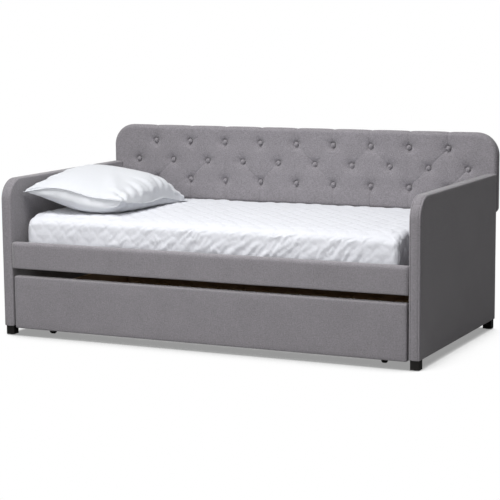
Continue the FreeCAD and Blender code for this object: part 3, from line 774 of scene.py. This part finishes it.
def make_buttons(places):
    """Fabric-covered buttons: a domed cap with a rolled edge, each tilted a little."""
    outline = [
        (0.0, 0.0094), (0.0028, 0.0091), (0.0056, 0.0082), (0.0080, 0.0067), (0.0100, 0.0047),
        (0.0113, 0.0024), (0.0118, 0.0), (0.0112, -0.0018), (0.0090, -0.0024), (0.0, -0.0024),
    ]
    spokes, slant = 28, 0.06
    draw = np.random.default_rng(5)
    points, faces = [], []
    for place in places:
        tilt = Matrix.Rotation(draw.normal(0, slant), 3, "X") @ Matrix.Rotation(draw.normal(0, slant), 3, "Z")
        rings = []
        for radius, rise in outline:
            angles = [2 * math.pi * spoke / spokes for spoke in range(spokes if radius else 1)]
            ring = [(radius * math.cos(angle), -rise, radius * math.sin(angle)) for angle in angles]
            rings.append(range(len(points), len(points) + len(ring)))
            points += [Vector(place) + tilt @ Vector(local) for local in ring]
        for first, second in zip(rings, rings[1:]):
            for spoke in range(spokes):
                after = (spoke + 1) % spokes
                corners = ((first, spoke), (first, after), (second, after), (second, spoke))
                faces.append(tuple(dict.fromkeys(ring[index % len(ring)] for ring, index in corners)))
    caps = mesh_object("tufting_button_caps", points, faces, upholstery)
    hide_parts("backrest_buttons")
    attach(caps, "daybed")


# ---- rails and trundle front ----
def strip_object(name, section, x0, x1, wobble):
    """A closed section in (y, z), drawn along X, with a slight unevenness along its length."""
    spacing, seed = 0.02, 31
    steps = max(2, round((x1 - x0) / spacing))
    y, z = np.array(section).T
    count = len(section)
    rings = []
    for place in np.linspace(x0, x1, steps + 1):
        x = np.full(count, place)
        shift = wobble * ripple(x, y * 3 + z, seed, 0.4)
        rings.append(np.stack([x, y + shift, z + shift], 1))
    caps = [tuple(range(count)), tuple(range(steps * count, (steps + 1) * count))]
    return mesh_object(name, np.concatenate(rings), tube_faces(steps + 1, count, False) + caps, upholstery)


def rounded_section(corners):
    """A closed outline through corners given as (y, z, radius)."""
    steps = 6
    points = []
    for index, (y, z, radius) in enumerate(corners):
        corner = np.array((y, z))
        back = np.array(corners[index - 1][:2]) - corner
        ahead = np.array(corners[(index + 1) % len(corners)][:2]) - corner
        back, ahead = back / np.linalg.norm(back), ahead / np.linalg.norm(ahead)
        if radius == 0:
            points.append(corner)
            continue
        for step in range(steps + 1):
            share = step / steps
            start, end = corner + back * radius, corner + ahead * radius
            curve = start * (1 - share) ** 2 + 2 * corner * share * (1 - share) + end * share ** 2
            points.append(curve)
    return points


def subdivided(points, longest):
    """The outline with its long runs cut into shorter ones."""
    result = []
    for index, point in enumerate(points):
        after = points[(index + 1) % len(points)]
        cuts = max(1, math.ceil(np.linalg.norm(after - point) / longest))
        result += [point + (after - point) * step / cuts for step in range(cuts)]
    return result


def make_front_rail():
    """The padded cover of the front rail, open behind below the slats."""
    low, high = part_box("front_rail_cover")
    core_low, core_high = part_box("front_rail_core")
    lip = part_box("bed_slats")[1].z + 0.008
    skin = 0.0004
    section = rounded_section([
        (core_high.y, low.z, 0.001), (core_high.y, core_low.z - skin, 0), (core_low.y, core_low.z - skin, 0),
        (core_low.y, core_high.z + skin, 0), (core_high.y + skin, core_high.z + skin, 0),
        (core_high.y + skin, lip, 0.001), (high.y, lip, 0.002), (high.y, high.z, 0.014),
        (low.y, high.z, 0.016), (low.y, low.z, 0.007),
    ])
    rail = strip_object("front_rail_upholstery", subdivided(section, 0.012), low.x, high.x, wobble=0.0004)
    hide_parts("front_rail_cover")
    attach(rail, "daybed")


def make_rear_rail():
    """The fabric skin over the rear rail's back, top and bottom."""
    low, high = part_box("rear_rail_cover")
    core_low, core_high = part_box("rear_rail_core")
    section = rounded_section([
        (low.y, low.z, 0.0008), (high.y, low.z, 0.003), (high.y, high.z, 0.004), (low.y, high.z, 0.0008),
        (low.y, core_high.z, 0), (core_high.y, core_high.z, 0), (core_high.y, core_low.z, 0),
        (low.y, core_low.z, 0),
    ])
    skin = strip_object("rear_rail_upholstery", subdivided(section, 0.015), low.x, high.x, wobble=0.0)
    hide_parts("rear_rail_cover")
    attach(skin, "daybed")


def make_trundle_front():
    """The upholstered trundle front, with softly rounded edges all round."""
    box_low, box_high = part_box("trundle_front_cover")
    middle, thickness = (box_low.y + box_high.y) / 2, box_high.y - box_low.y
    low, high = (box_low.x, box_low.z), (box_high.x, box_high.z)
    radii, soft_edge = (0.008, 0.008, 0.009, 0.009), 0.012
    profile = rounded_profile(thickness - 0.001, 0.008, 0.020)

    def face(a, b, inset):
        soft = np.clip(inset / soft_edge, 0, 1)
        return soft * (crown(a, b, low, high, 0.0010, 0.06) + 0.0005 * ripple(a, b, 41, 0.5)) - 0.0005

    panel = panel_object(
        "trundle_front_upholstery", low, high, radii, profile,
        lambda a, b, h: (a, middle - h, b), upholstery, spacing=0.012, relief=face,
    )
    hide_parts("trundle_front_cover")
    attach(panel, "trundle")


# ---- mattress ----
QUILT_RADIUS = 0.043


def clamshell(a, b, radius):
    """Distance to the nearest line of a clamshell quilting: rows of overlapping half circles."""

    def from_centre(line):
        shift = np.where(line % 2 == 0, 0.0, radius)
        centre = np.round((a - shift) / (2 * radius)) * 2 * radius + shift
        return np.hypot(a - centre, b - line * radius)

    row = np.floor(b / radius)
    upper, lower = from_centre(row), from_centre(row - 1)
    covered, far = upper < radius, 1.0
    return np.minimum(np.abs(upper - radius), np.where(covered, far, np.abs(lower - radius)))


def pull_folds(draw, x0, x1, y_edge):
    """Slanted folds that rise from the rail along the front, steeper to the right.

    Each is (start, end, height, width). They are strongest 70% of the way along.
    """
    spacing, below_edge = 0.060, 0.140
    folds = []
    x = x0
    while x < x1:
        place = (x - x0) / (x1 - x0)
        strong = 0.30 + 0.70 * hill(place, 0.70, 0.26)
        slope = math.radians(24 + 26 * place + draw.uniform(-5, 5))
        length = draw.uniform(0.10, 0.18) * (0.6 + 0.5 * strong)
        start = np.array((x, y_edge - below_edge + draw.uniform(-0.01, 0.02)))
        end = start + length * np.array((math.cos(slope), math.sin(slope)))
        folds.append((start, end, strong * draw.uniform(0.0035, 0.0080), draw.uniform(0.006, 0.013)))
        x += spacing * draw.uniform(0.5, 1.3)
    return folds


def crumple(a, b):
    """Fine irregular ridges that mostly slant up to the right, from 0 to 1."""
    draw = np.random.default_rng(78)
    sets = 5
    a, b = a + 0.012 * ripple(a, b, 53, 0.14), b + 0.010 * ripple(a, b, 54, 0.10)
    total = np.zeros(len(a))
    for _ in range(sets):
        angle = math.radians(draw.normal(126, 16))
        phase = (a * math.cos(angle) + b * math.sin(angle)) / draw.uniform(0.032, 0.070) + draw.uniform(0, 1)
        total = np.maximum(total, draw.uniform(0.5, 1.0) * (1 - np.abs(np.sin(math.pi * phase))) ** 2.8)
    return total * np.clip(0.5 + 0.5 * ripple(a, b, 56, 0.22), 0, 1)


def mattress_relief(low, high, top):
    """Outward movement of the mattress cover: quilting, slow waves, crumples and pulled folds.

    It is worked out on the cover laid flat, (a, b), which runs on past the edges and down the sides.
    """
    draw = np.random.default_rng(77)
    folds = pull_folds(draw, low[0] + 0.35, high[0] - 0.22, low[1])

    def offset(points, normals):
        level = np.hypot(normals[:, 0], normals[:, 1]) + 1e-6
        drop = np.maximum(top - points[:, 2], 0) / level * smooth_step(level, 0.1, 0.5)
        a, b = points[:, 0] + drop * normals[:, 0], points[:, 1] + drop * normals[:, 1]
        front = smooth_step(-normals[:, 1], 0.0, 0.5)
        puff, reach = 0.0042 - 0.0018 * front, 0.009 - 0.002 * front
        stitch = clamshell(a + 0.004 * ripple(a, b, 57, 0.3), b + 0.004 * ripple(a, b, 58, 0.3), QUILT_RADIUS)
        move = puff * (1 - np.exp(-stitch / reach)) - 0.0036
        move += 0.0016 * ripple(points[:, 0], b, 51, 0.5) + 0.0010 * ripple(a, b, 52, 0.16)
        near_rail = band(b - low[1], -0.165, -0.115, -0.06, 0.06)
        pulled = band(a, low[0] + 0.10, low[0] + 0.60, high[0] - 0.16, high[0] - 0.06)
        move += 0.0100 * crumple(a, b) * near_rail * (0.25 + 0.75 * pulled)
        a, b = a + 0.008 * ripple(a, b, 59, 0.12), b + 0.008 * ripple(a, b, 60, 0.12)
        for start, end, height, width in folds:
            share, distance = along_segment(a, b, start, end)
            below = (a - start[0]) * (end[1] - start[1]) > (b - start[1]) * (end[0] - start[0])
            trough = 0.7 * hill(distance, 1.7 * width, 0.8 * width) * below
            fading = (1 - share ** 2) * np.maximum(front, 0.45)
            move += height * (hill(distance, 0, width) - trough) * fading
        return move

    return offset


def mattress_crown(a, b, low, high):
    """How far the mattress's top rises from its edges to its middle."""
    return 0.005 * smooth_step(edge_distance(a, b, low, high), 0.0, 0.16)


def make_mattress():
    """The quilted mattress: full rounded edges, clamshell quilting, slanted folds along the front."""
    box_low, box_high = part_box("mattress")
    middle, half = (box_low.z + box_high.z) / 2, (box_high.z - box_low.z) / 2
    low, high = (box_low.x - 0.003, box_low.y + 0.002), (box_high.x - 0.019, box_high.y)
    radii = (0.045, 0.022, 0.030, 0.058)
    wide, tall, flat, bulge, sides = 0.034, 0.032, 0.056, 0.004, 16
    angles = np.linspace(0, math.pi / 2, 12)
    rounded = [(wide * (1 - math.sin(t)), half - tall * (1 - math.cos(t))) for t in angles]
    shares = [step / sides for step in range(1, sides)]
    profile = [(flat, half)] + rounded
    profile += [(-bulge * math.sin(math.pi * share), (half - tall) * (1 - 2 * share)) for share in shares]
    profile += [(inset, -height) for inset, height in rounded[::-2]] + [(flat, -half)]

    mattress = panel_object(
        "mattress_quilt", low, high, radii, profile,
        lambda a, b, h: (a, b, middle + h), quilt_cotton, spacing=0.0048, arc_steps=(8, 6, 6, 8),
    )
    points = mesh_points(mattress)
    a, b = points[:, 0], points[:, 1].copy()
    upper = smooth_step(points[:, 2], middle - 0.01, box_high.z - 0.01)
    from_front, rear = b - low[1], smooth_step(b, high[1] - 0.12, high[1] - 0.03)
    from_end = np.minimum(a - low[0], high[0] - a)
    puffed = 0.006 * (1 - smooth_step(from_end, 0.07, 0.17)) * (1 - smooth_step(from_front, 0.28, 0.46))
    worn = 0.010 * (1 - smooth_step(from_front, 0, 0.09))
    worn += 0.018 * hill(from_end, 0, 0.10) * hill(from_front, 0, 0.075)
    scallop = 0.003 * np.abs(np.sin(math.pi * a / (2 * QUILT_RADIUS)))
    points[:, 2] += upper * (mattress_crown(a, b, low, high) + puffed - worn + (scallop - 0.008) * rear)
    points[:, 1] += 0.020 * rear * smooth_step(points[:, 2], middle + 0.01, middle + 0.04)
    set_mesh_points(mattress, points)
    displace(mattress, mattress_relief(low, high, box_high.z))
    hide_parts("mattress")
    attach(mattress, "daybed")


# ---- pillow ----
def two_sheets(across, along):
    """A grid and its copy behind it, sharing their rim: shares (u, v), layers, faces, rim."""
    wide = across + 1
    places, front, back = [], [], []
    for row in range(along + 1):
        for column in range(wide):
            front.append(len(places))
            places.append((column / across, row / along, 1))
            if column in (0, across) or row in (0, along):
                back.append(front[-1])
            else:
                back.append(len(places))
                places.append((column / across, row / along, -1))
    starts = [row * wide + column for row in range(along) for column in range(across)]
    squares = [(start, start + 1, start + wide + 1, start + wide) for start in starts]
    faces = [tuple(sheet[corner] for corner in square) for sheet in (front, back) for square in squares]
    u, v, layer = np.array(places).T
    return u, v, layer, faces, [front[index] for index in grid_loop(along + 1, wide)]


def pillow_form(u, v, layer):
    """The pillow as it lies: full in the middle, ears at its corners, its left end near the arm.

    s and t run from 0 to 1 along its length and width, seam is the height of its seam, and full is
    how near each point is to the fullest, 0 at the seam.
    """
    low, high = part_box("pillow")
    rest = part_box("mattress")[1].z + 0.004
    rise, fall, softness = 0.154, 0.134, 0.012
    s, t = (1 - np.cos(math.pi * u)) / 2, (1 - np.cos(math.pi * v)) / 2
    upper = layer > 0
    x = low.x + 0.021 + s * (high.x - low.x - 0.031)
    y = low.y - 0.004 + t * (high.y - low.y + 0.020) + 0.069 * (s - 0.5) * (1 - t)
    bow_u, bow_v = np.sin(math.pi * u) ** 0.8, np.sin(math.pi * v) ** 0.8
    x += bow_v * (0.004 * (1 - s) ** 3 - 0.024 * s ** 3)
    y += bow_u * 0.022 * ((1 - t) ** 3 - t ** 3)
    front_left, front_right, rear_left, rear_right = 0.095, 0.069, 0.044, -0.010
    seam = (1 - t) * ((1 - s) * front_left + s * front_right) + t * ((1 - s) * rear_left + s * rear_right)
    seam += 0.037 * hill(s, 0.285, 0.30) * (1 - t) ** 2 + 0.031 * hill(t, 0.724, 0.24) * s ** 2
    across = np.maximum(np.sin(math.pi * np.where(upper, u ** 0.763, u ** 1.15)), 0)
    along = np.maximum(np.sin(math.pi * np.where(upper, v ** 1.516, v ** 1.2)), 0)
    full = np.where(upper, across ** 0.461 * along ** 0.842, across ** 1.20 * along ** 0.42)
    height = seam + np.where(upper, rise, -fall) * full
    ridge = 0.012 * band(1 - s, 0.03, 0.20, 0.25, 0.55) * hill(s + t, 1, 0.09)
    height += np.where(upper, ridge, 0)
    bulge = np.where(upper, 0, np.sin(math.pi * full))
    y -= 0.014 * bulge * hill(t, 0, 0.12)
    x += 0.004 * bulge * hill(s, 1, 0.12)
    pressed = softness * np.logaddexp(0, height / softness)
    sag = 0.010 * hill(s, 0.55, 0.3) * hill(t, 0.5, 0.3)
    z = rest + pressed - np.where(upper, sag, 0)
    return np.stack([x, y, z], 1)


def pillow_pulls(u, v, layer):
    """Movement along the case's normals, which point inward: creases from the seams, with ridges beside them.

    Each side is (way in from its seam, way along it, number of gathers, strength).
    """
    draw = np.random.default_rng(90)
    move = np.zeros(len(u))
    sides = ((1 - u, v, 11, 1.0), (u, v, 8, 0.7), (v, u, 7, 0.30), (1 - v, u, 7, 0.7))
    for away, along, count, strength in sides:
        for index in range(count):
            place = (index + 0.5 + draw.uniform(-0.22, 0.22)) / count
            width, reach = draw.uniform(0.012, 0.020), draw.uniform(0.24, 0.42)
            slant = draw.uniform(-0.06, 0.06)
            shift = along - place - slant * away
            gather = hill(shift, 0, width) - 0.6 * hill(shift, 2.1 * width, width)
            amount = draw.uniform(0.5, 1.0) * strength * np.where(layer > 0, 0.0120, 0.0050)
            move += amount * gather * band(away, 0.0, 0.08, 0.16, reach)
    return move


def relax(obj, pressure, frames, growth, limit):
    """Lets the closed mesh find its folds as cloth; limit is how far each point may move.

    The pressure pushes the way the faces point. The pillow's point inward, so it squeezes the pillow.
    """
    scene = bpy.context.scene
    before = mesh_points(obj)
    cloth = obj.modifiers.new("cloth", "CLOTH")
    settings = {
        "quality": 6, "mass": 0.2, "tension_stiffness": 30, "compression_stiffness": 30, "shear_stiffness": 8,
        "bending_stiffness": 0.15, "shrink_min": -growth, "use_pressure": True,
        "uniform_pressure_force": pressure,
    }
    for setting, value in settings.items():
        setattr(cloth.settings, setting, value)
    cloth.settings.effector_weights.gravity = 0
    cloth.point_cache.frame_end = frames
    for frame in range(1, frames + 1):
        scene.frame_set(frame)
    settled = bpy.data.meshes.new_from_object(obj.evaluated_get(bpy.context.evaluated_depsgraph_get()))
    obj.modifiers.remove(cloth)
    obj.data = settled
    scene.frame_set(1)
    move = mesh_points(obj) - before
    length = np.linalg.norm(move, axis=1) + 1e-9
    set_mesh_points(obj, before + move * np.minimum(1, limit / length)[:, None])


def make_pillow():
    """The pillow: a stuffed case relaxed as cloth, with a flat seam allowance round it."""
    u, v, layer, faces, rim = two_sheets(across=60, along=78)
    pillow = mesh_object("pillow_case", pillow_form(u, v, layer), faces, pillow_cotton)
    displace(pillow, lambda points, normals: pillow_pulls(u, v, layer))
    relax(pillow, pressure=2.0, frames=14, growth=0.045, limit=np.where(layer > 0, 0.007, 0.003))
    x, y, z = mesh_points(pillow).T
    bed_low, bed_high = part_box("mattress")
    clear = 0.004
    z = np.maximum(z, bed_high.z + clear + mattress_crown(x, y, bed_low, bed_high))
    x = np.maximum(x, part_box("left_arm_inner_pad")[1].x + clear)
    set_mesh_points(pillow, np.stack([x, y, z], 1))
    finer = pillow.modifiers.new("finer", "SUBSURF")
    finer.levels = finer.render_levels = 1
    pillow.data.shade_smooth()
    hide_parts("pillow")
    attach(pillow, "daybed")
    make_flange(mesh_points(pillow)[rim])


def make_flange(seam):
    """The flat seam allowance that stands out round the pillow."""
    width, inner, thin = 0.010, -0.004, 0.0012
    along = np.roll(seam, -2, 0) - np.roll(seam, 2, 0)
    along /= np.linalg.norm(along, axis=1)[:, None]
    outward = np.cross(along, (0, 0, 1.0))
    outward /= np.linalg.norm(outward, axis=1)[:, None]
    upward = np.cross(outward, along)
    section = ((inner, thin), (width * 0.6, thin), (width, 0.0), (width * 0.6, -thin), (inner, -thin))
    count = len(seam)
    wave = 0.0012 * ripple(np.arange(count) * 0.02, np.zeros(count), 61, 0.2)
    points = np.concatenate([
        seam + outward * out + upward * (up + wave * max(out, 0) / width)[:, None]
        for out, up in section
    ])
    flange = mesh_object("pillow_seam_flange", points, tube_faces(len(section), count, True), pillow_cotton)
    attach(flange, "daybed")


# ---- the whole ----
add_camera()
add_stage()
paint_cad_nodes()
make_arm("left")
make_arm("right")
make_backrest()
make_front_rail()
make_rear_rail()
make_trundle_front()
make_mattress()
make_pillow()
